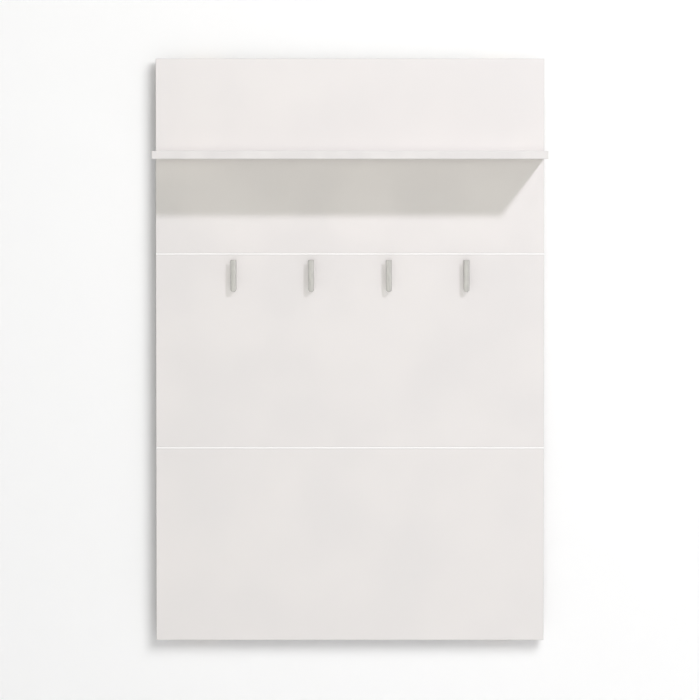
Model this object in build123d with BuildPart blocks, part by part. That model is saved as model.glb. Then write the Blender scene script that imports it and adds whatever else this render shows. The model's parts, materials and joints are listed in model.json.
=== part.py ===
from build123d import *
import os

# Wall hook rack: three melamine-faced boards, one above another, are tied into a panel by two battens behind
# them. A shelf crosses the upper board and four U-shaped hooks hang below it.
# Millimetres. X runs to the right, Y towards the wall and Z up. The wall is the plane Y = 0 and the rack faces
# -Y. The origin is midway between the entry holes of the two keyhole hanger plates.

# Panel
panel_width = 800
panel_top = 100  # above the keyholes' entry holes
board_pitch = 400  # one board and the joint above it
board_thickness = 16
joint_width = 4
edge_thickness = 1
edge_radius = 0.7

# Joint strips
strip_proud = 0.5  # how far the crowned head stands out of the boards
strip_head_depth = 2
strip_stem_depth = 12
strip_stem_thickness = 1.6
strip_fin_reach = 1.9
strip_fin_count = 3
fin_root, fin_tip, fin_end = 0.25, 0.35, 0.85  # places along one fin's share of the stem
strip_end_gap = 0.5

# Battens behind the boards
batten_x = 300
batten_width = 60
batten_thickness = 16
batten_end_gap = 15
batten_chamfer = 0.5
pocket_width = 24
pocket_depth = 12
pocket_bottom, pocket_top = -10, 24
pocket_corner = 6

# Keyhole hanger plates
plate_thickness = 2
plate_width = 40
plate_bottom, plate_top = -38, 52
plate_corner = 4
plate_chamfer = 0.3
keyhole_radius = 5
keyhole_slot_width = 5.6
keyhole_drop = 12  # from the entry hole up to where the wall screw sits
plate_screw_x = 12
plate_screw_inset = 10

# Rubber wall bumpers at the foot of the battens
bumper_width = 44
bumper_height = 18
bumper_above_end = 8
bumper_corner = 3

# Shelf
shelf_depth = 210
shelf_thickness = 16
shelf_below_top = 198  # from the panel's top to the shelf's mid-plane
shelf_screw_xs = (-360, -120, 120, 360)
shelf_dowel_xs = (-240, 0, 240)
dowel_radius = 4
dowel_length = 30
dowel_in_board = 11
dowel_end_gap = 1
dowel_chamfer = 0.8

# Hooks
hook_xs = (-240, -80, 80, 240)
hook_width = 12
hook_height = 66
hook_below_joint = 10
hook_projection = 20
hook_back = 4  # thickness of the leg against the board
hook_front = 4  # thickness of the upright tongue
hook_web = 10  # metal under the bottom of the gap
hook_gap_flat = 0.2  # left flat between the two round corners of the gap's floor
hook_crown = 0.5  # how far the tongue's face bows outwards
hook_corner = 0.9
hook_edge = 0.6
hook_screw_drops = (13, 57)  # below the hook's top

# Fasteners: (length, thread radius, core radius, pitch, plain length under the head)
batten_screw = (25, 2.0, 1.3, 1.8, 7)
plate_screw = (14, 1.75, 1.1, 1.6, 3)
shelf_screw = (50, 3.5, 2.5, 3.0, 16)
hook_screw_upper = (20, 2.0, 1.65, 0.7, 2)
hook_screw_lower = (25, 2.0, 1.65, 0.7, 2)
batten_screw_head, plate_screw_head, shelf_screw_head = 4.0, 3.4, 5.0  # radii
machine_head_radius, machine_head_height = 4.0, 2.4
batten_screw_x = 15  # zigzag about the batten's middle line
batten_screw_from_top, batten_screw_from_bottom = 35, 60
washer_radius = 4.5
washer_thickness = 0.8
countersink = 90
screw_clearance = 0.05  # round a thread in its hole
shank_clearance = 0.25  # round a shank that passes through
hole_spare = 0.5  # how much deeper a blind hole is than its screw
tip_radius = 0.2
thread_crest = 0.5  # where a ring's crest stands in its pitch
socket_depth = 1.4
cross_length, cross_width, hex_radius = 1.1, 0.24, 0.46  # sockets, as shares of the head's radius
pan_wall = 0.4  # height of a pan head's upright rim, as a share of the head
pan_crown = 0.5

panel_back = -(plate_thickness + batten_thickness)
panel_front = panel_back - board_thickness
half_width = panel_width / 2
core_half = half_width - edge_thickness
shelf_z = panel_top - shelf_below_top
hook_top = panel_top - board_pitch - joint_width - hook_below_joint
hook_bottom = hook_top - hook_height
screw_zs = [hook_top - drop for drop in hook_screw_drops]

# Sketches on these planes read as (x, z), and each is the outside of the named face.
wall_plane = Plane.XZ
board_back = Plane.XZ.offset(-panel_back)
board_front = Plane.XZ.offset(-panel_front)
batten_back = Plane.XZ.offset(plate_thickness)

boards = {}
for row, board_name in enumerate(("upper", "middle", "lower")):
    top = panel_top - row * board_pitch - (joint_width if row else 0)
    boards[board_name] = (top, panel_top - (row + 1) * board_pitch)

batten_screw_points = []  # (x from the batten's middle line, z), for the right batten
for top, bottom in boards.values():
    batten_screw_points += [
        (batten_screw_x, top - batten_screw_from_top),
        (-batten_screw_x, bottom + batten_screw_from_bottom),
    ]


def save(built, node):
    built.part.label = node
    export_step(built.part, f"parts/{node}.step")


def facing_wall(y):
    """A plane at this depth whose outside looks at the wall. Its own x runs to the left."""
    return Plane(origin=(0, y, 0), x_dir=(-1, 0, 0), z_dir=(0, 1, 0))


def from_behind(points):
    return [(-x, z) for x, z in points]


def batten_screws_at(side):
    """Where one batten's screws are, for the left (-1) or the right (1) batten."""
    return [(side * (batten_x + x), z) for x, z in batten_screw_points]


def edge_band(node, centre, size, outward):
    """One glued edge band, with the corners of its outer face rounded off."""
    with BuildPart() as band:
        with Locations(centre):
            Box(*size)
        fillet(band.faces().sort_by(outward)[-1].edges(), edge_radius)
    save(band, node)


def make_screw(sizes, head_radius, pan_height=0.0, hex_socket=False):
    """A screw along -Y with its seat at y = 0: a flush countersunk head, or a pan head if it has a height.
    The thread is drawn as rings."""
    length, thread_radius, core_radius, pitch, plain = sizes
    sink = 0 if pan_height else head_radius - core_radius
    ring_count = int((length - plain - 2 * pitch) / pitch)
    with BuildPart() as screw:
        with BuildSketch(Plane.XY):
            with BuildLine():
                outline = [(core_radius, -sink), (core_radius, -plain)]
                for ring in range(ring_count):
                    start = -plain - ring * pitch
                    outline += [
                        (thread_radius, start - thread_crest * pitch),
                        (core_radius, start - pitch),
                    ]
                Polyline(*outline, (tip_radius, -length), (0, -length), (0, pan_height))
                if pan_height:
                    Line((core_radius, 0), (head_radius, 0))
                    Line((head_radius, 0), (head_radius, pan_wall * pan_height))
                    SagittaArc((head_radius, pan_wall * pan_height), (0, pan_height), pan_crown)
                else:
                    Polyline((core_radius, -sink), (head_radius, 0), (0, 0))
            make_face()
        revolve(axis=Axis.Y)
        with BuildSketch(Plane.XZ.offset(-pan_height)):
            if hex_socket:
                RegularPolygon(hex_radius * head_radius, 6)
            else:
                Rectangle(cross_length * head_radius, cross_width * head_radius)
                Rectangle(cross_width * head_radius, cross_length * head_radius)
        extrude(amount=socket_depth, mode=Mode.SUBTRACT)
    return screw.part


def place_screws(node, screws):
    """One node of fasteners from (screw, (x, y, z)) pairs."""
    with BuildPart() as group:
        for screw, place in screws:
            with Locations(place):
                add(screw)
    save(group, node)


def make_board(name, top, bottom):
    """A chipboard core with melamine faces. Holes for the battens' screws are blind, from behind."""
    core_top, core_bottom = top - edge_thickness, bottom + edge_thickness
    own_screws = [
        (x, z) for side in (-1, 1) for x, z in batten_screws_at(side) if bottom < z < top
    ]
    with BuildPart() as board:
        with BuildSketch(board_back):
            with Locations((0, (core_top + core_bottom) / 2)):
                Rectangle(2 * core_half, core_top - core_bottom)
        extrude(amount=board_thickness)
        with Locations(facing_wall(panel_back)):
            with Locations(*from_behind(own_screws)):
                length, thread_radius = batten_screw[:2]
                Hole(thread_radius + screw_clearance, length - batten_thickness + hole_spare)
        if name == "upper":
            with Locations(facing_wall(panel_back)):
                with Locations(*from_behind([(x, shelf_z) for x in shelf_screw_xs])):
                    CounterSinkHole(
                        shelf_screw[1] + shank_clearance,
                        shelf_screw_head + shank_clearance,
                        counter_sink_angle=countersink,
                    )
            with Locations(board_front):
                with Locations(*[(x, shelf_z) for x in shelf_dowel_xs]):
                    Hole(dowel_radius + screw_clearance, dowel_in_board + dowel_end_gap)
        if name == "middle":
            with Locations(facing_wall(panel_back)):
                with Locations(*from_behind([(x, z) for x in hook_xs for z in screw_zs])):
                    Hole(hook_screw_upper[1] + shank_clearance)
    save(board, f"{name}_board")

    middle_y, middle_z = (panel_back + panel_front) / 2, (top + bottom) / 2
    long_band = (panel_width, board_thickness, edge_thickness)
    side_band = (edge_thickness, board_thickness, core_top - core_bottom)
    for end, z, outward in (("top", core_top + edge_thickness / 2, Axis.Z),
                            ("bottom", core_bottom - edge_thickness / 2, -Axis.Z)):
        edge_band(f"{name}_edge_{end}", (0, middle_y, z), long_band, outward)
    for side, sign, outward in (("left", -1, -Axis.X), ("right", 1, Axis.X)):
        x = sign * (core_half + edge_thickness / 2)
        edge_band(f"{name}_edge_{side}", (x, middle_y, middle_z), side_band, outward)


def make_joint_strip(node, joint_top):
    """A plastic strip pressed into the joint under a board: a crowned head and a stem with barbed fins."""
    half_joint, half_stem = joint_width / 2, strip_stem_thickness / 2
    head_back = panel_front + strip_head_depth
    fin_pitch = strip_stem_depth / strip_fin_count
    left_end = (-half_width + strip_end_gap, 0, joint_top - half_joint)
    with BuildPart() as strip:
        with BuildSketch(Plane(origin=left_end, x_dir=(0, 1, 0), z_dir=(1, 0, 0))):
            with BuildLine() as section:
                upper = [(panel_front, half_joint), (head_back, half_joint), (head_back, half_stem)]
                for fin in range(strip_fin_count):
                    y = head_back + fin * fin_pitch
                    upper += [
                        (y + fin_root * fin_pitch, half_stem),
                        (y + fin_tip * fin_pitch, strip_fin_reach),
                        (y + fin_end * fin_pitch, half_stem),
                    ]
                upper += [(head_back + strip_stem_depth, half_stem), (head_back + strip_stem_depth, 0)]
                Polyline(*upper)
                mirror(section.line, about=Plane.XZ)
                ThreePointArc(
                    (panel_front, half_joint),
                    (panel_front - strip_proud, 0),
                    (panel_front, -half_joint),
                )
            make_face()
        extrude(amount=panel_width - 2 * strip_end_gap)
    save(strip, node)


def make_shelf():
    front = panel_front - shelf_depth
    core_front = front + edge_thickness
    core_depth = panel_front - core_front
    low = shelf_z - shelf_thickness / 2
    screw_depth = shelf_screw[0] - board_thickness + hole_spare
    dowel_depth = dowel_length - dowel_in_board + dowel_end_gap
    with BuildPart() as shelf:
        with BuildSketch(Plane.XY.offset(low)):
            with Locations((0, (panel_front + core_front) / 2)):
                Rectangle(2 * core_half, core_depth)
        extrude(amount=shelf_thickness)
        with Locations(facing_wall(panel_front)):
            with Locations(*from_behind([(x, shelf_z) for x in shelf_screw_xs])):
                Hole(shelf_screw[1] + screw_clearance, screw_depth)
            with Locations(*from_behind([(x, shelf_z) for x in shelf_dowel_xs])):
                Hole(dowel_radius + screw_clearance, dowel_depth)
    save(shelf, "shelf_board")

    front_band = (panel_width, edge_thickness, shelf_thickness)
    side_band = (edge_thickness, core_depth, shelf_thickness)
    edge_band("shelf_edge_front", (0, front + edge_thickness / 2, shelf_z), front_band, -Axis.Y)
    for side, sign, outward in (("left", -1, -Axis.X), ("right", 1, Axis.X)):
        centre = (sign * (core_half + edge_thickness / 2), (panel_front + core_front) / 2, shelf_z)
        edge_band(f"shelf_edge_{side}", centre, side_band, outward)

    screw = make_screw(shelf_screw, shelf_screw_head, hex_socket=True)
    place_screws("shelf_screws", [(screw, (x, panel_back, shelf_z)) for x in shelf_screw_xs])
    with BuildPart() as dowels:
        with BuildSketch(Plane.XZ.offset(-panel_front - dowel_in_board)):
            with Locations(*[(x, shelf_z) for x in shelf_dowel_xs]):
                Circle(dowel_radius)
        extrude(amount=dowel_length)
        chamfer(dowels.edges().filter_by(GeomType.CIRCLE), dowel_chamfer)
    save(dowels, "shelf_dowels")


def make_batten(side_name, side):
    """An upright batten with a pocket for the wall screw's head behind its keyhole."""
    low = boards["lower"][1] + batten_end_gap
    high = panel_top - batten_end_gap
    x = side * batten_x
    plate_points = plate_screws_at(side)
    with BuildPart() as batten:
        with BuildSketch(batten_back):
            with Locations((x, (low + high) / 2)):
                Rectangle(batten_width, high - low)
        extrude(amount=batten_thickness)
        with BuildSketch(batten_back):
            with Locations((x, (pocket_bottom + pocket_top) / 2)):
                RectangleRounded(pocket_width, pocket_top - pocket_bottom, pocket_corner)
        extrude(amount=pocket_depth, mode=Mode.SUBTRACT)
        with Locations(facing_wall(-plate_thickness)):
            with Locations(*from_behind(batten_screws_at(side))):
                CounterSinkHole(
                    batten_screw[1] + shank_clearance,
                    batten_screw_head + shank_clearance,
                    counter_sink_angle=countersink,
                )
            with Locations(*from_behind(plate_points)):
                Hole(plate_screw[1] + screw_clearance, plate_screw[0] - plate_thickness + hole_spare)
        chamfer(batten.faces().sort_by(Axis.Y)[-1].outer_wire().edges(), batten_chamfer)
    save(batten, f"batten_{side_name}")

    long_screw = make_screw(batten_screw, batten_screw_head)
    long_places = [(px, -plate_thickness, pz) for px, pz in batten_screws_at(side)]
    place_screws(f"batten_screws_{side_name}", [(long_screw, place) for place in long_places])
    short_screw = make_screw(plate_screw, plate_screw_head)
    short_places = [(px, 0, pz) for px, pz in plate_points]
    place_screws(f"hanger_screws_{side_name}", [(short_screw, place) for place in short_places])

    with BuildPart() as bumper:
        with BuildSketch(wall_plane):
            with Locations((x, low + bumper_above_end + bumper_height / 2)):
                RectangleRounded(bumper_width, bumper_height, bumper_corner)
        extrude(amount=plate_thickness)
    save(bumper, f"wall_bumper_{side_name}")


def plate_screws_at(side):
    return [
        (side * batten_x + x, z)
        for x in (-plate_screw_x, plate_screw_x)
        for z in (plate_bottom + plate_screw_inset, plate_top - plate_screw_inset)
    ]


def make_hanger_plate(side_name, side):
    """A steel plate with a keyhole: the wall screw's head enters at z = 0 and the rack drops onto its shank."""
    x = side * batten_x
    with BuildPart() as plate:
        with BuildSketch(wall_plane):
            with Locations((x, (plate_bottom + plate_top) / 2)):
                RectangleRounded(plate_width, plate_top - plate_bottom, plate_corner)
            with Locations((x, 0)):
                Circle(keyhole_radius, mode=Mode.SUBTRACT)
            with Locations((x, keyhole_drop / 2)):
                Rectangle(keyhole_slot_width, keyhole_drop, mode=Mode.SUBTRACT)
            with Locations((x, keyhole_drop)):
                Circle(keyhole_slot_width / 2, mode=Mode.SUBTRACT)
        extrude(amount=plate_thickness)
        chamfer(plate.faces().sort_by(Axis.Y)[-1].outer_wire().edges(), plate_chamfer)
        with Locations(facing_wall(0)):
            with Locations(*from_behind(plate_screws_at(side))):
                CounterSinkHole(
                    plate_screw[1] + shank_clearance / 2,
                    plate_screw_head + shank_clearance,
                    counter_sink_angle=countersink,
                )
    save(plate, f"hanger_plate_{side_name}")


def make_hook(number, x):
    """A cast U: a leg against the board, a web under the gap and an upright tongue. Its foot is a half round."""
    gap_back = panel_front - hook_back
    gap_front = panel_front - hook_projection + hook_front
    front = panel_front - hook_projection
    gap_radius = (gap_back - gap_front) / 2
    half = hook_width / 2
    with BuildPart() as hook:
        with BuildSketch(board_front):
            with BuildLine():
                Polyline(
                    (x - half, hook_bottom + half),
                    (x - half, hook_top),
                    (x + half, hook_top),
                    (x + half, hook_bottom + half),
                )
                RadiusArc((x + half, hook_bottom + half), (x - half, hook_bottom + half), half)
            make_face()
        extrude(amount=hook_projection)
        with BuildSketch(Plane.YZ.offset(x - half)):
            with Locations(((gap_back + gap_front) / 2, (hook_top + hook_bottom) / 2 + hook_web)):
                Rectangle(2 * gap_radius, hook_height)
        extrude(amount=hook_width, mode=Mode.SUBTRACT)
        gap_floor = hook.faces().filter_by(Axis.Z).sort_by(Axis.Z)[0]
        fillet(gap_floor.edges().filter_by(Axis.X), gap_radius - hook_gap_flat / 2)
        with BuildSketch(Plane.XY.offset(hook_bottom)):
            with BuildLine():
                ThreePointArc(
                    (x - half, front + hook_crown), (x, front), (x + half, front + hook_crown)
                )
                Polyline(
                    (x + half, front + hook_crown),
                    (x + half, panel_front),
                    (x - half, panel_front),
                    (x - half, front + hook_crown),
                )
            make_face()
        extrude(amount=hook_height, mode=Mode.INTERSECT)
        upright_corners = hook.edges().filter_by(Axis.Z).group_by(Axis.Y)[0]
        fillet(upright_corners, hook_edge)
        top_faces = hook.faces().filter_by(Axis.Z)
        fillet(top_faces.edges().filter_by(Axis.X), hook_corner)
        with Locations(facing_wall(panel_front)):
            for z, sizes in zip(screw_zs, (hook_screw_upper, hook_screw_lower)):
                with Locations((-x, z)):
                    depth = sizes[0] - board_thickness - washer_thickness + hole_spare
                    Hole(sizes[1] + screw_clearance, depth)
    save(hook, f"hook_{number}")

    seat = panel_back + washer_thickness
    places = [(x, seat, z) for z in screw_zs]
    place_screws(f"hook_screws_{number}", list(zip(machine_screws, places)))
    with BuildPart() as washers:
        with BuildSketch(board_back):
            with Locations(*[(x, z) for z in screw_zs]):
                Circle(washer_radius)
                Circle(hook_screw_upper[1] + shank_clearance, mode=Mode.SUBTRACT)
        extrude(amount=-washer_thickness)
    save(washers, f"hook_washers_{number}")


os.makedirs("parts", exist_ok=True)

for board_name, (top, bottom) in boards.items():
    make_board(board_name, top, bottom)
make_joint_strip("joint_strip_upper", boards["upper"][1])
make_joint_strip("joint_strip_lower", boards["middle"][1])
make_shelf()
for side_name, side in (("left", -1), ("right", 1)):
    make_batten(side_name, side)
    make_hanger_plate(side_name, side)

machine_screws = [
    make_screw(sizes, machine_head_radius, pan_height=machine_head_height)
    for sizes in (hook_screw_upper, hook_screw_lower)
]
for number, hook_x in enumerate(hook_xs, 1):
    make_hook(number, hook_x)
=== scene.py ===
import json
import math

import bmesh
import bpy
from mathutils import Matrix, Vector


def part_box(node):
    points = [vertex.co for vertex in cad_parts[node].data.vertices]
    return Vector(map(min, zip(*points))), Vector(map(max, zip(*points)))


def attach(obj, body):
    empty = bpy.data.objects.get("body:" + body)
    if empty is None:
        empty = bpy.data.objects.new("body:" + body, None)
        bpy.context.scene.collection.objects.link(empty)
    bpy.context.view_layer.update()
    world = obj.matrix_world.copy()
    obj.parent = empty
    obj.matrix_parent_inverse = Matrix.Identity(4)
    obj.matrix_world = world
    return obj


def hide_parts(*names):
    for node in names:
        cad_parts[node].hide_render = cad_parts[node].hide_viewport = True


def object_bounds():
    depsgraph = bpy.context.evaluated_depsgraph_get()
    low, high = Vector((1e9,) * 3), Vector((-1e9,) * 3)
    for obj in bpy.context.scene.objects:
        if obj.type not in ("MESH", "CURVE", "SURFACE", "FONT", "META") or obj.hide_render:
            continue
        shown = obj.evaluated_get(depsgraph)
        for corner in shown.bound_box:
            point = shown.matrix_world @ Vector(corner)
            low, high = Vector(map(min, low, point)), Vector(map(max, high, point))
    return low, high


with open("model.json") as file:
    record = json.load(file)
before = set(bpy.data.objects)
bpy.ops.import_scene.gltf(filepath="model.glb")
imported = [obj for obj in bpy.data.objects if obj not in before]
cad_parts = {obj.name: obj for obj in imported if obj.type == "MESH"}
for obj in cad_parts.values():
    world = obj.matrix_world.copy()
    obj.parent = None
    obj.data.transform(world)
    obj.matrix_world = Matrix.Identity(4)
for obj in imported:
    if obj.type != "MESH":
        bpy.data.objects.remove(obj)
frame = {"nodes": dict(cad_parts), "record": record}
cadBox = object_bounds()
nodes = frame["nodes"]
subparts = frame["record"]["subparts"]

# Places that everything else is worked out from, in metres. The wall is at y = 0 and the rack faces -Y.
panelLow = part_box("lower_edge_bottom")[0]
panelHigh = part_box("upper_edge_top")[1]
panelFront = panelLow.y
panelMiddle = (panelLow + panelHigh) / 2
hookNames = [part["node"] for part in subparts if part["material_slot"] == "hook_metal"]
bumperNames = [part["node"] for part in subparts if part["material_slot"] == "rubber"]
shelfNames = [name for name in nodes if name.startswith("shelf_")]


def addNode(tree, kind, **settings):
    node = tree.nodes.new(kind)
    for name, value in settings.items():
        setattr(node, name, value)
    return node


def wire(tree, source, node, socket):
    # source is an output socket or a plain value
    if isinstance(source, bpy.types.NodeSocket):
        tree.links.new(source, node.inputs[socket])
    else:
        node.inputs[socket].default_value = source
    return node


def calc(tree, operation, first, second=0.0):
    node = addNode(tree, "ShaderNodeMath", operation=operation)
    wire(tree, first, node, 0)
    wire(tree, second, node, 1)
    return node.outputs[0]


def calcVector(tree, operation, first, second=(0.0, 0.0, 0.0)):
    node = addNode(tree, "ShaderNodeVectorMath", operation=operation)
    wire(tree, first, node, 0)
    wire(tree, second, node, 1)
    return node.outputs[0]


def splitVector(tree, source):
    return wire(tree, source, addNode(tree, "ShaderNodeSeparateXYZ"), 0).outputs


def noise(tree, vector, scale, detail=3.0, roughness=0.55, output="Fac"):
    node = addNode(tree, "ShaderNodeTexNoise")
    settings = {"Vector": vector, "Scale": scale, "Detail": detail, "Roughness": roughness}
    for socket, source in settings.items():
        wire(tree, source, node, socket)
    return node.outputs[output]


def cellColour(tree, vector, scale):
    node = addNode(tree, "ShaderNodeTexVoronoi", feature="F1")
    wire(tree, vector, node, "Vector")
    wire(tree, scale, node, "Scale")
    return wire(tree, node.outputs["Color"], addNode(tree, "ShaderNodeSeparateColor"), 0).outputs


def mapped(tree, value, fromLow, fromHigh, toLow=0.0, toHigh=1.0):
    node = addNode(tree, "ShaderNodeMapRange", interpolation_type="SMOOTHSTEP")
    for socket, source in enumerate((value, fromLow, fromHigh, toLow, toHigh)):
        wire(tree, source, node, socket)
    return node.outputs[0]


def mixColour(tree, factor, first, second):
    node = addNode(tree, "ShaderNodeMix", data_type="RGBA")
    for socket, source in ((0, factor), (6, first), (7, second)):
        wire(tree, source, node, socket)
    return node.outputs[2]


def newGroup(name, inputs, outputs):
    # inputs are {socket name: (socket type, default)}, outputs are {socket name: socket type}
    tree = bpy.data.node_groups.new(name, "ShaderNodeTree")
    for socketName, (kind, default) in inputs.items():
        socket = tree.interface.new_socket(name=socketName, in_out="INPUT", socket_type="NodeSocket" + kind)
        if default is not None:
            socket.default_value = default
    for socketName, kind in outputs.items():
        tree.interface.new_socket(name=socketName, in_out="OUTPUT", socket_type="NodeSocket" + kind)
    return tree, addNode(tree, "NodeGroupInput").outputs, addNode(tree, "NodeGroupOutput")


orangePeelValues = {
    "detail": 2.0,
    "patchEdges": (0.3, 0.7),  # the noise levels where a patch starts and where it's full
}


def makeOrangePeel():
    # the fine pressed texture of melamine, plastic and rubber, with slow patches over it
    values = orangePeelValues
    tree, given, out = newGroup(
        "orangePeel",
        {"Vector": ("Vector", None), "Grain": ("Float", 900.0), "Waves": ("Float", 6.0)},
        {"Height": "Float", "Patches": "Float"})
    wire(tree, noise(tree, given["Vector"], given["Grain"], values["detail"]), out, "Height")
    slow = noise(tree, given["Vector"], given["Waves"], values["detail"])
    wire(tree, mapped(tree, slow, *values["patchEdges"]), out, "Patches")
    return tree


edgeMaskValues = {
    "breakup": 260.0,
    "leastReach": 0.4,  # the narrowest the band gets, as a share of its width
}


def makeEdgeMask():
    # 1 on the upright and level rims of a box, fading over about Width, broken up so that it isn't ruled
    values = edgeMaskValues
    tree, given, out = newGroup(
        "edgeMask",
        {"Vector": ("Vector", None), "Centre": ("Vector", None), "Half": ("Vector", None),
         "Width": ("Float", 0.002)},
        {"Mask": "Float"})
    offset = calcVector(tree, "SUBTRACT", given["Vector"], given["Centre"])
    fromCentre = calcVector(tree, "ABSOLUTE", offset)
    inside = splitVector(tree, calcVector(tree, "SUBTRACT", given["Half"], fromCentre))
    fromRim = calc(tree, "MINIMUM", inside["X"], inside["Z"])
    breakup = calc(tree, "ADD", noise(tree, given["Vector"], values["breakup"]), values["leastReach"])
    reach = calc(tree, "MULTIPLY", given["Width"], breakup)
    wire(tree, mapped(tree, fromRim, 0.0, reach, 1.0, 0.0), out, "Mask")
    return tree


chipboardValues = {
    "swirl": 180.0,
    "lie": (1.0, 1.6, 0.35),  # chips lie along the board and are thin across it
    "toneSpread": 0.75,
    "gaps": 700.0,
    "gapDetail": 4.0,
    "gapEdges": (0.52, 0.66),
}


def makeChipboard():
    # pressed wood chips as they show on a sawn edge
    values = chipboardValues
    tree, given, out = newGroup(
        "chipboard",
        {"Vector": ("Vector", None), "Chips": ("Float", 420.0), "Bend": ("Float", 0.004),
         "Pale": ("Color", (0.77, 0.63, 0.46, 1)), "Dark": ("Color", (0.49, 0.36, 0.24, 1))},
        {"Colour": "Color", "Height": "Float"})
    swirl = noise(tree, given["Vector"], values["swirl"], output="Color")
    shift = addNode(tree, "ShaderNodeVectorMath", operation="SCALE")
    wire(tree, swirl, shift, 0)
    wire(tree, given["Bend"], shift, "Scale")
    bent = calcVector(tree, "ADD", given["Vector"], shift.outputs[0])
    tones = cellColour(tree, calcVector(tree, "MULTIPLY", bent, values["lie"]), given["Chips"])
    pores = noise(tree, given["Vector"], values["gaps"], values["gapDetail"])
    gaps = mapped(tree, pores, *values["gapEdges"])
    tone = calc(tree, "MAXIMUM", calc(tree, "MULTIPLY", tones[0], values["toneSpread"]), gaps)
    wire(tree, mixColour(tree, tone, given["Pale"], given["Dark"]), out, "Colour")
    wire(tree, calc(tree, "SUBTRACT", tones[1], gaps), out, "Height")
    return tree


strokeValues = {
    "detail": 4.0,
    "roughness": 0.65,
    "edges": (0.35, 0.65),
}


def makeStrokes():
    # short strokes along one direction, as brushing, drawing or wood grain leaves them
    values = strokeValues
    tree, given, out = newGroup(
        "strokes",
        {"Vector": ("Vector", None), "Stretch": ("Vector", (2600.0, 2600.0, 60.0))},
        {"Strokes": "Float", "Height": "Float"})
    drawn = calcVector(tree, "MULTIPLY", given["Vector"], given["Stretch"])
    lines = noise(tree, drawn, 1.0, values["detail"], values["roughness"])
    wire(tree, mapped(tree, lines, *values["edges"]), out, "Strokes")
    wire(tree, lines, out, "Height")
    return tree


zincSkinValues = {
    "tint": 90.0,
    "tintEdges": (0.35, 0.7),
}


def makeZincSkin():
    # faint crystal patches and the yellow tint of a passivated plating
    values = zincSkinValues
    tree, given, out = newGroup(
        "zincSkin",
        {"Vector": ("Vector", None), "Cells": ("Float", 500.0)},
        {"Patch": "Float", "Tint": "Float"})
    wire(tree, cellColour(tree, given["Vector"], given["Cells"])[0], out, "Patch")
    clouds = noise(tree, given["Vector"], values["tint"])
    wire(tree, mapped(tree, clouds, *values["tintEdges"]), out, "Tint")
    return tree


dustValues = {
    "upward": (0.5, 1.0),  # how far up a face has to look before dust lies on it, and to be full of it
    "specks": 35.0,
    "speckDetail": 6.0,
    "speckRoughness": 0.7,
    "speckEdges": (0.35, 0.75),
}


def makeDust():
    # a thin bloom of dust on what faces up
    values = dustValues
    tree, given, out = newGroup(
        "dust",
        {"Vector": ("Vector", None), "Normal": ("Vector", None), "Amount": ("Float", 0.2)},
        {"Mask": "Float"})
    upward = mapped(tree, splitVector(tree, given["Normal"])["Z"], *values["upward"])
    motes = noise(tree, given["Vector"], values["specks"], values["speckDetail"], values["speckRoughness"])
    specks = mapped(tree, motes, *values["speckEdges"])
    lying = calc(tree, "MULTIPLY", upward, specks)
    wire(tree, calc(tree, "MULTIPLY", lying, given["Amount"]), out, "Mask")
    return tree


groups = {}
for groupMaker in (makeOrangePeel, makeEdgeMask, makeChipboard, makeStrokes, makeZincSkin, makeDust):
    made = groupMaker()
    groups[made.name] = made
print("shared effects:", ", ".join(groups))


def newMaterial(name):
    material = bpy.data.materials.new(name)
    material.use_nodes = True
    tree = material.node_tree
    tree.nodes.clear()
    shader = addNode(tree, "ShaderNodeBsdfPrincipled")
    tree.links.new(shader.outputs[0], addNode(tree, "ShaderNodeOutputMaterial").inputs["Surface"])
    return material, tree, shader


def newFinish(name):
    # a material whose patterns are placed by the object's own coordinates
    material, tree, shader = newMaterial(name)
    return material, tree, shader, addNode(tree, "ShaderNodeTexCoord").outputs["Object"]


def placeGroup(tree, name, **inputs):
    node = addNode(tree, "ShaderNodeGroup", node_tree=groups[name])
    for socket, source in inputs.items():
        wire(tree, source, node, socket)
    return node.outputs


def addRoughness(tree, shader, mask, limits):
    wire(tree, mapped(tree, mask, 0.0, 1.0, *limits), shader, "Roughness")


def addBump(tree, shader, height, depth):
    node = addNode(tree, "ShaderNodeBump")
    wire(tree, height, node, "Height")
    node.inputs["Distance"].default_value = depth
    tree.links.new(node.outputs[0], shader.inputs["Normal"])


melamineValues = {
    "colour": (0.780, 0.752, 0.728, 1),
    "cooler": (0.768, 0.744, 0.722, 1),
    "dustColour": (0.70, 0.68, 0.65, 1),
    "dust": 0.12,
    "roughness": (0.42, 0.52),
    "grain": 850.0,
    "patches": 5.0,
    "grainDepth": 0.000024,
}


def makeMelamine():
    values = melamineValues
    material, tree, shader, place = newFinish("whiteMelamine")
    peel = placeGroup(tree, "orangePeel", Vector=place, Grain=values["grain"], Waves=values["patches"])
    normal = addNode(tree, "ShaderNodeNewGeometry").outputs["Normal"]
    dust = placeGroup(tree, "dust", Vector=place, Normal=normal, Amount=values["dust"])
    base = mixColour(tree, peel["Patches"], values["colour"], values["cooler"])
    wire(tree, mixColour(tree, dust["Mask"], base, values["dustColour"]), shader, "Base Color")
    addRoughness(tree, shader, peel["Patches"], values["roughness"])
    addBump(tree, shader, peel["Height"], values["grainDepth"])
    return material


edgeBandValues = {
    "colour": (0.700, 0.680, 0.660, 1),
    "scuffed": (0.735, 0.715, 0.695, 1),
    "scuffs": 0.25,
    "roughness": (0.36, 0.48),
    "rollMarks": (40.0, 900.0, 900.0),
    "grain": 1400.0,
    "patches": 30.0,
    "grainDepth": 0.00002,
}


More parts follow.
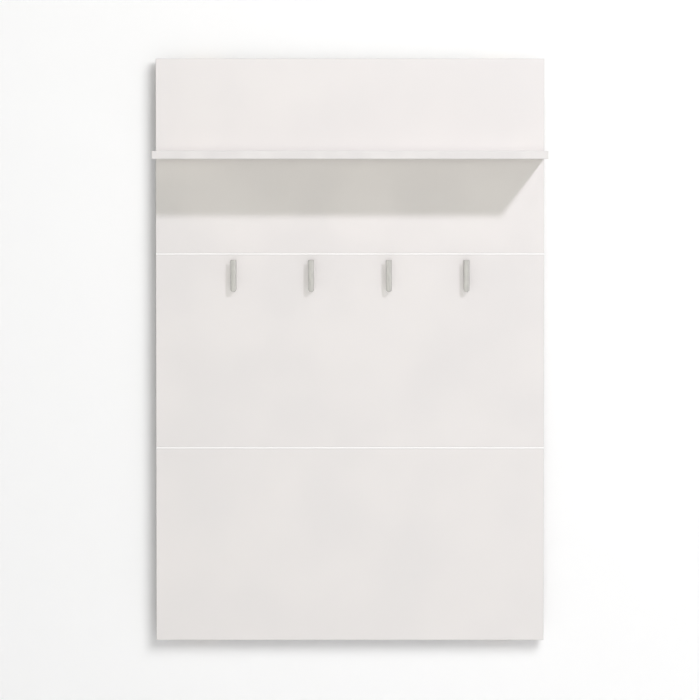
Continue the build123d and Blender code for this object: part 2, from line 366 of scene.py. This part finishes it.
def makeEdgeBand():
    values = edgeBandValues
    material, tree, shader, place = newFinish("absEdgeBand")
    peel = placeGroup(tree, "orangePeel", Vector=place, Grain=values["grain"], Waves=values["patches"])
    marks = placeGroup(tree, "strokes", Vector=place, Stretch=values["rollMarks"])
    worn = calc(tree, "MULTIPLY", marks["Strokes"], values["scuffs"])
    wire(tree, mixColour(tree, worn, values["colour"], values["scuffed"]), shader, "Base Color")
    addRoughness(tree, shader, peel["Patches"], values["roughness"])
    addBump(tree, shader, peel["Height"], values["grainDepth"])
    return material


stripValues = {
    "colour": (0.94, 0.925, 0.91, 1),
    "drawn": (0.91, 0.895, 0.88, 1),
    "roughness": (0.20, 0.32),
    "drawLines": (12.0, 1800.0, 1800.0),
    "lineDepth": 0.00001,
}


def makeStrip():
    values = stripValues
    material, tree, shader, place = newFinish("whiteStrip")
    lines = placeGroup(tree, "strokes", Vector=place, Stretch=values["drawLines"])
    wire(tree, mixColour(tree, lines["Strokes"], values["colour"], values["drawn"]), shader, "Base Color")
    addRoughness(tree, shader, lines["Strokes"], values["roughness"])
    addBump(tree, shader, lines["Height"], values["lineDepth"])
    return material


battenValues = {
    "face": (0.74, 0.715, 0.69, 1),
    "roughness": (0.85, 0.46),  # of the sawn edges and of the white faces
    "skin": 0.0004,  # how far under a face its white still shows
    "flatness": 0.9,  # how squarely a white face looks to the front or the back
    "grain": 850.0,
    "patches": 9.0,
    "faceBump": 0.1,
    "chipDepth": 0.0003,
}


def makeBatten():
    # white faces front and back; the sawn long edges, ends and pocket show the chips
    values = battenValues
    material, tree, shader, place = newFinish("battenBoard")
    lowY, highY = (corner.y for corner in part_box("batten_left"))
    depth = splitVector(tree, place)["Y"]
    fromFaces = [calc(tree, "ABSOLUTE", calc(tree, "SUBTRACT", depth, y)) for y in (lowY, highY)]
    atSkin = calc(tree, "LESS_THAN", calc(tree, "MINIMUM", *fromFaces), values["skin"])
    facing = splitVector(tree, addNode(tree, "ShaderNodeNewGeometry").outputs["True Normal"])["Y"]
    faceOn = calc(tree, "GREATER_THAN", calc(tree, "ABSOLUTE", facing), values["flatness"])
    white = calc(tree, "MULTIPLY", faceOn, atSkin)
    chips = placeGroup(tree, "chipboard", Vector=place)
    wire(tree, mixColour(tree, white, chips["Colour"], values["face"]), shader, "Base Color")
    addRoughness(tree, shader, white, values["roughness"])
    peel = placeGroup(tree, "orangePeel", Vector=place, Grain=values["grain"], Waves=values["patches"])
    sawn = calc(tree, "MULTIPLY", chips["Height"], calc(tree, "SUBTRACT", 1.0, white))
    pressed = calc(tree, "MULTIPLY", peel["Height"], values["faceBump"])
    addBump(tree, shader, calc(tree, "ADD", sawn, pressed), values["chipDepth"])
    return material


hookMetalValues = {
    "light": (0.420, 0.414, 0.399, 1),
    "dark": (0.374, 0.368, 0.354, 1),
    "rubbed": (0.462, 0.455, 0.440, 1),
    "roughness": (0.48, 0.58),
    "strokes": (2400.0, 2400.0, 70.0),
    "strokeDepth": 0.00002,
    "rimWidth": 0.0012,
}


def makeHookMetal(name):
    # satin nickel, rubbed brighter along the rims that coats and hands touch
    values = hookMetalValues
    material, tree, shader, place = newFinish("satinNickel." + name)
    low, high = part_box(name)
    brushed = placeGroup(tree, "strokes", Vector=place, Stretch=values["strokes"])
    rim = placeGroup(tree, "edgeMask", Vector=place, Centre=(low + high) / 2, Half=(high - low) / 2,
                     Width=values["rimWidth"])
    base = mixColour(tree, brushed["Strokes"], values["light"], values["dark"])
    wire(tree, mixColour(tree, rim["Mask"], base, values["rubbed"]), shader, "Base Color")
    shader.inputs["Metallic"].default_value = 1.0
    addRoughness(tree, shader, brushed["Strokes"], values["roughness"])
    addBump(tree, shader, brushed["Height"], values["strokeDepth"])
    return material


zincValues = {
    "bright": (0.66, 0.67, 0.68, 1),
    "dull": (0.52, 0.53, 0.55, 1),
    "yellowed": (0.64, 0.62, 0.52, 1),
    "yellowing": 0.35,
    "cells": {"zincSheet": 380.0, "zincScrew": 900.0},
    "roughness": {"zincSheet": (0.30, 0.44), "zincScrew": (0.22, 0.36)},
    "pitting": 2200.0,
    "pitDepth": 0.00001,
}


def makeZinc(name):
    values = zincValues
    material, tree, shader, place = newFinish(name)
    skin = placeGroup(tree, "zincSkin", Vector=place, Cells=values["cells"][name])
    base = mixColour(tree, skin["Patch"], values["bright"], values["dull"])
    tint = calc(tree, "MULTIPLY", skin["Tint"], values["yellowing"])
    wire(tree, mixColour(tree, tint, base, values["yellowed"]), shader, "Base Color")
    shader.inputs["Metallic"].default_value = 1.0
    addRoughness(tree, shader, skin["Patch"], values["roughness"][name])
    addBump(tree, shader, noise(tree, place, values["pitting"]), values["pitDepth"])
    return material


beechValues = {
    "pale": (0.70, 0.52, 0.34, 1),
    "dark": (0.52, 0.34, 0.20, 1),
    "roughness": (0.64, 0.76),
    "grain": (700.0, 30.0, 700.0),
    "grainDepth": 0.0001,
}


def makeBeech():
    values = beechValues
    material, tree, shader, place = newFinish("rawBeech")
    grain = placeGroup(tree, "strokes", Vector=place, Stretch=values["grain"])
    wire(tree, mixColour(tree, grain["Strokes"], values["pale"], values["dark"]), shader, "Base Color")
    addRoughness(tree, shader, grain["Strokes"], values["roughness"])
    addBump(tree, shader, grain["Height"], values["grainDepth"])
    return material


rubberValues = {
    "colour": (0.11, 0.11, 0.115, 1),
    "bloom": (0.20, 0.20, 0.205, 1),
    "roughness": (0.62, 0.80),
    "grain": 1600.0,
    "patches": 120.0,
    "grainDepth": 0.00006,
}


def makeRubber():
    values = rubberValues
    material, tree, shader, place = newFinish("greyRubber")
    peel = placeGroup(tree, "orangePeel", Vector=place, Grain=values["grain"], Waves=values["patches"])
    wire(tree, mixColour(tree, peel["Patches"], values["colour"], values["bloom"]), shader, "Base Color")
    addRoughness(tree, shader, peel["Patches"], values["roughness"])
    addBump(tree, shader, peel["Height"], values["grainDepth"])
    return material


slotMaterials = {
    "white_board": makeMelamine(),
    "edge_band": makeEdgeBand(),
    "joint_strip": makeStrip(),
    "batten": makeBatten(),
    "zinc_plate": makeZinc("zincSheet"),
    "zinc_screw": makeZinc("zincScrew"),
    "beech": makeBeech(),
    "rubber": makeRubber(),
}
hookMetals = {name: makeHookMetal(name) for name in hookNames}


def dress(piece, material):
    piece.data.materials.clear()
    piece.data.materials.append(material)


for part in subparts:
    dress(nodes[part["node"]], hookMetals.get(part["node"]) or slotMaterials[part["material_slot"]])
print("materials on", len(nodes), "nodes")


finishValues = {
    "normalWeight": 100,  # how much more the large faces count in the smooth shading
}


def finishPiece(name, shape, node, material):
    # a smooth-shaded piece that stands for a CAD node and rides where it rode
    bmesh.ops.recalc_face_normals(shape, faces=shape.faces[:])
    for face in shape.faces:
        face.smooth = True
    mesh = bpy.data.meshes.new(name)
    shape.to_mesh(mesh)
    shape.free()
    piece = bpy.data.objects.new(name, mesh)
    bpy.context.scene.collection.objects.link(piece)
    evenNormals = piece.modifiers.new("evenNormals", "WEIGHTED_NORMAL")
    evenNormals.weight = finishValues["normalWeight"]
    dress(piece, material)
    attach(piece, "root")
    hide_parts(node)
    return piece


def bevelSharp(shape, offset, segments, leastTurn):
    # rounds the edges where the surface turns by more than leastTurn, in radians
    edges = [edge for edge in shape.edges if edge.is_manifold and edge.calc_face_angle() > leastTurn]
    bmesh.ops.bevel(shape, geom=edges, offset=offset, segments=segments, profile=0.5,
                    affect="EDGES", clamp_overlap=True, material=-1)


hookValues = {
    "legDepth": 0.004,
    "tongueDepth": 0.004,
    "web": 0.010,  # metal under the gap
    "gapSteps": 14,
    "footRound": 0.98,  # the foot's radius, as a share of half the width
    "footSegments": 14,
    "edge": 0.0007,
    "edgeSegments": 3,
    "leastTurn": 0.6,
    "crown": 0.0003,  # how far the tongue's face bows outwards
    "crownColumns": 12,
}


def makeHook(name):
    # a casting: its U-shaped side is drawn across the width, then its foot is rounded and its face bowed
    values = hookValues
    low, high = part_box(name)
    half = (high.x - low.x) / 2
    gapBack, gapFront = high.y - values["legDepth"], low.y + values["tongueDepth"]
    gapRadius = (gapBack - gapFront) / 2
    gapCentre = Vector((low.x, (gapBack + gapFront) / 2, low.z + values["web"] + gapRadius))
    shape = bmesh.new()
    gapStart = shape.verts.new((low.x, gapBack, gapCentre.z))
    bmesh.ops.spin(shape, geom=[gapStart], cent=gapCentre, axis=(1, 0, 0), angle=-math.pi,
                   steps=values["gapSteps"], use_merge=False, use_duplicate=False)
    gapFloor = sorted(shape.verts, key=lambda vert: -vert.co.y)
    before = [(low.y, low.z), (high.y, low.z), (high.y, high.z), (gapBack, high.z)]
    after = [(gapFront, high.z), (low.y, high.z)]
    outline = [shape.verts.new((low.x, y, z)) for y, z in before] + gapFloor
    outline += [shape.verts.new((low.x, y, z)) for y, z in after]
    side = shape.faces.new(outline)
    drawn = bmesh.ops.extrude_face_region(shape, geom=[side])["geom"]
    verts = [item for item in drawn if isinstance(item, bmesh.types.BMVert)]
    bmesh.ops.translate(shape, verts=verts, vec=(2 * half, 0, 0))
    bmesh.ops.recalc_face_normals(shape, faces=shape.faces[:])
    footEdges = [edge for edge in shape.edges
                 if all(vert.co.z < low.z + values["web"] / 2 for vert in edge.verts)
                 and abs(edge.verts[0].co.y - edge.verts[1].co.y) > half]  # the two that run front to back
    bmesh.ops.bevel(shape, geom=footEdges, offset=values["footRound"] * half,
                    segments=values["footSegments"], profile=0.5, affect="EDGES", material=-1)
    bevelSharp(shape, values["edge"], values["edgeSegments"], values["leastTurn"])
    for column in range(1, values["crownColumns"]):
        x = low.x + 2 * half * column / values["crownColumns"]
        everything = shape.verts[:] + shape.edges[:] + shape.faces[:]
        bmesh.ops.bisect_plane(shape, geom=everything, plane_co=(x, 0, 0), plane_no=(1, 0, 0))
    for vert in shape.verts:
        if vert.co.y < (low.y + gapFront) / 2:
            across = (vert.co.x - low.x) / half - 1
            vert.co.y += values["crown"] * across * across
    return finishPiece("cast_" + name, shape, name, hookMetals[name])


bumperValues = {
    "corner": 0.003,
    "cornerSegments": 5,
    "rim": 0.0022,  # the plain border round the ribs
    "ribs": 7,
    "grooveDepth": 0.0008,
    "edge": 0.00025,
    "edgeSegments": 2,
    "leastTurn": 0.6,
}


def makeBumper(name):
    # a moulded rubber block: a plain rim round a field of upright ribs on the side that meets the wall
    values = bumperValues
    low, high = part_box(name)
    shape = bmesh.new()
    corners = [(low.x, low.z), (high.x, low.z), (high.x, high.z), (low.x, high.z)]
    base = [shape.verts.new((x, low.y, z)) for x, z in corners]
    shape.faces.new(base)
    bmesh.ops.bevel(shape, geom=base, offset=values["corner"], segments=values["cornerSegments"],
                    profile=0.5, affect="VERTICES", material=-1)
    drawn = bmesh.ops.extrude_face_region(shape, geom=shape.faces[:])["geom"]
    verts = [item for item in drawn if isinstance(item, bmesh.types.BMVert)]
    top = next(item for item in drawn if isinstance(item, bmesh.types.BMFace))
    bmesh.ops.translate(shape, verts=verts, vec=(0, high.y - low.y, 0))
    bmesh.ops.recalc_face_normals(shape, faces=shape.faces[:])
    bmesh.ops.inset_region(shape, faces=[top], thickness=values["rim"], use_even_offset=True)
    fieldLow, fieldHigh = low.x + values["rim"], high.x - values["rim"]
    stripCount = 2 * values["ribs"] + 1
    strips = [top]
    for cut in range(1, stripCount):
        x = fieldLow + (fieldHigh - fieldLow) * cut / stripCount
        geom = strips + list({edge for face in strips for edge in face.edges})
        geom += list({vert for face in strips for vert in face.verts})
        parted = bmesh.ops.bisect_plane(shape, geom=geom, plane_co=(x, 0, 0), plane_no=(1, 0, 0))["geom"]
        strips = [item for item in parted if isinstance(item, bmesh.types.BMFace)]
    strips.sort(key=lambda face: face.calc_center_median().x)
    for groove in strips[::2]:  # the ribs are the strips left between them
        bmesh.ops.inset_region(shape, faces=[groove], thickness=values["edge"],
                               depth=-values["grooveDepth"], use_even_offset=True)
    bevelSharp(shape, values["edge"], values["edgeSegments"], values["leastTurn"])
    return finishPiece("ribbed_" + name, shape, name, slotMaterials["rubber"])


castHooks = [makeHook(name) for name in hookNames]
bumpers = [makeBumper(name) for name in bumperNames]
print("hooks:", len(castHooks), "bumpers:", len(bumpers))


# The room, the lights and the camera aren't part of the object
roomValues = {
    "wallColour": (0.985, 0.985, 0.985, 1),
    "wallRoughness": 0.9,
    "floorColour": (0.86, 0.86, 0.85, 1),
    "floorRoughness": 0.7,
    "wallHalf": 1.8,
    "floorHalf": 14.0,
    "floorBelowPanel": 0.75,
    "behindRack": 0.0005,
    "pastFirstHit": 1.5,  # a ray depth between a first hit and a second one
}


def stagePlane(name, corners, material):
    shape = bmesh.new()
    shape.faces.new([shape.verts.new(corner) for corner in corners])
    mesh = bpy.data.meshes.new(name)
    shape.to_mesh(mesh)
    shape.free()
    plane = bpy.data.objects.new(name, mesh)
    bpy.context.scene.collection.objects.link(plane)
    dress(plane, material)
    return plane


def makeWallMaterial():
    # clear from behind, so that the rack's back can be seen, and clear to the light that reaches the rack
    material, tree, shader = newMaterial("wallPaint")
    shader.inputs["Base Color"].default_value = roomValues["wallColour"]
    shader.inputs["Roughness"].default_value = roomValues["wallRoughness"]
    shader.inputs["Specular IOR Level"].default_value = 0.0
    path = addNode(tree, "ShaderNodeLightPath").outputs
    behind = addNode(tree, "ShaderNodeNewGeometry").outputs["Backfacing"]
    fromFirstHit = calc(tree, "LESS_THAN", path["Ray Depth"], roomValues["pastFirstHit"])
    unseen = calc(tree, "SUBTRACT", 1.0, path["Is Camera Ray"])
    lettingLightIn = calc(tree, "MULTIPLY", unseen, fromFirstHit)
    mix = addNode(tree, "ShaderNodeMixShader")
    wire(tree, calc(tree, "MAXIMUM", behind, lettingLightIn), mix, 0)
    tree.links.new(shader.outputs[0], mix.inputs[1])
    tree.links.new(addNode(tree, "ShaderNodeBsdfTransparent").outputs[0], mix.inputs[2])
    output = next(node for node in tree.nodes if node.bl_idname == "ShaderNodeOutputMaterial")
    tree.links.new(mix.outputs[0], output.inputs["Surface"])
    return material


def makeFloorMaterial():
    material, tree, shader = newMaterial("paleFloor")
    shader.inputs["Base Color"].default_value = roomValues["floorColour"]
    shader.inputs["Roughness"].default_value = roomValues["floorRoughness"]
    return material


def makeRoom():
    half, reach = roomValues["wallHalf"], roomValues["floorHalf"]
    wallY = cadBox[1].y + roomValues["behindRack"]
    floorZ = panelLow.z - roomValues["floorBelowPanel"]
    wallCorners = [(-half, wallY, floorZ), (half, wallY, floorZ), (half, wallY, half), (-half, wallY, half)]
    floorEdges = ((-reach, -reach), (reach, -reach), (reach, reach), (-reach, reach))
    floorCorners = [(x, y, floorZ) for x, y in floorEdges]
    stagePlane("floor", floorCorners, makeFloorMaterial())
    return stagePlane("wall", wallCorners, makeWallMaterial())


# Disk lights: size, offset from the panel's middle, power, colour, what they light (the wall, or everything
# else) and what casts no shadow in them. This keeps the small hooks' shadows pale and lights the wall apart.
lightValues = {
    "key": (0.30, (2.08, -4.24, 2.66), 64.0, (0.92, 0.905, 1.0), "rack", "nothing"),
    "paleKey": (0.40, (2.08, -4.24, 2.66), 61.0, (0.92, 0.905, 1.0), "rack", "hooks"),
    "front": (1.2, (0.0, -8.6, 0.40), 118.0, (1.0, 1.0, 0.90), "rack", "hooks"),
    "overhead": (1.4, (0.3, -0.9, 3.2), 13.0, (0.95, 0.97, 1.0), "rack", "nothing"),
    "behind": (3.0, (-1.5, 4.5, 1.8), 150.0, (1.0, 1.0, 1.0), "rack", "nothing"),
    "wallKey": (3.2, (2.08, -4.24, 2.66), 170.0, (1.0, 1.0, 1.0), "wall", "shelf and hooks"),
    "wallFront": (2.6, (0.0, -8.6, 0.40), 34.0, (1.0, 1.0, 1.0), "wall", "shelf and hooks"),
}
worldValues = {"colour": (1.0, 1.0, 0.985, 1), "strength": 0.40, "seen": 0.75}


def linkLight(holder, role, things, state):
    # role is receiver or blocker; state says if the things are the only ones in it or the ones left out
    linked = bpy.data.collections.new(holder.name + "_" + role)
    for thing in things:
        linked.objects.link(thing)
    for entry in linked.collection_objects:
        entry.light_linking.link_state = state
    setattr(holder.light_linking, role + "_collection", linked)


def makeLights(wall):
    shelfPieces = [nodes[name] for name in shelfNames]
    shadowless = {"nothing": [], "hooks": castHooks, "shelf and hooks": shelfPieces + castHooks}
    for name, (size, offset, power, colour, lit, unshadowed) in lightValues.items():
        lamp = bpy.data.lights.new(name, "AREA")
        lamp.shape = "DISK"
        lamp.size = size
        lamp.energy = power
        lamp.color = colour
        holder = bpy.data.objects.new(name, lamp)
        bpy.context.scene.collection.objects.link(holder)
        holder.location = panelMiddle + Vector(offset)
        holder.rotation_euler = (panelMiddle - holder.location).to_track_quat("-Z", "Y").to_euler()
        linkLight(holder, "receiver", [wall], "INCLUDE" if lit == "wall" else "EXCLUDE")
        if shadowless[unshadowed]:
            linkLight(holder, "blocker", shadowless[unshadowed], "EXCLUDE")


def makeWorld():
    # the sky is brighter to look at and in reflections than it is as a light
    world = bpy.data.worlds.new("studio")
    bpy.context.scene.world = world
    world.use_nodes = True
    tree = world.node_tree
    sky = tree.nodes["Background"]
    sky.inputs["Color"].default_value = worldValues["colour"]
    lighting = addNode(tree, "ShaderNodeLightPath").outputs["Is Diffuse Ray"]
    strength = mapped(tree, lighting, 0.0, 1.0, worldValues["seen"], worldValues["strength"])
    wire(tree, strength, sky, "Strength")


cameraValues = {
    "distance": 9.95,
    "eyeAboveMiddle": 0.40,
    "lens": 248.3,
    "sensor": 36.0,
    "clipEnd": 100.0,
}


def makeCamera():
    values = cameraValues
    camera = bpy.data.cameras.new("camera")
    camera.sensor_width = values["sensor"]
    camera.lens = values["lens"]
    camera.clip_end = values["clipEnd"]
    holder = bpy.data.objects.new("camera", camera)
    bpy.context.scene.collection.objects.link(holder)
    aim = Vector((panelMiddle.x, panelFront, panelMiddle.z))
    holder.location = aim + Vector((0, -values["distance"], values["eyeAboveMiddle"]))
    holder.rotation_euler = (aim - holder.location).to_track_quat("-Z", "Y").to_euler()
    bpy.context.scene.camera = holder


makeLights(makeRoom())
makeWorld()
makeCamera()
bpy.context.scene.view_settings.view_transform = "Standard"
bpy.context.scene.view_settings.look = "None"
print("room, lights and camera")
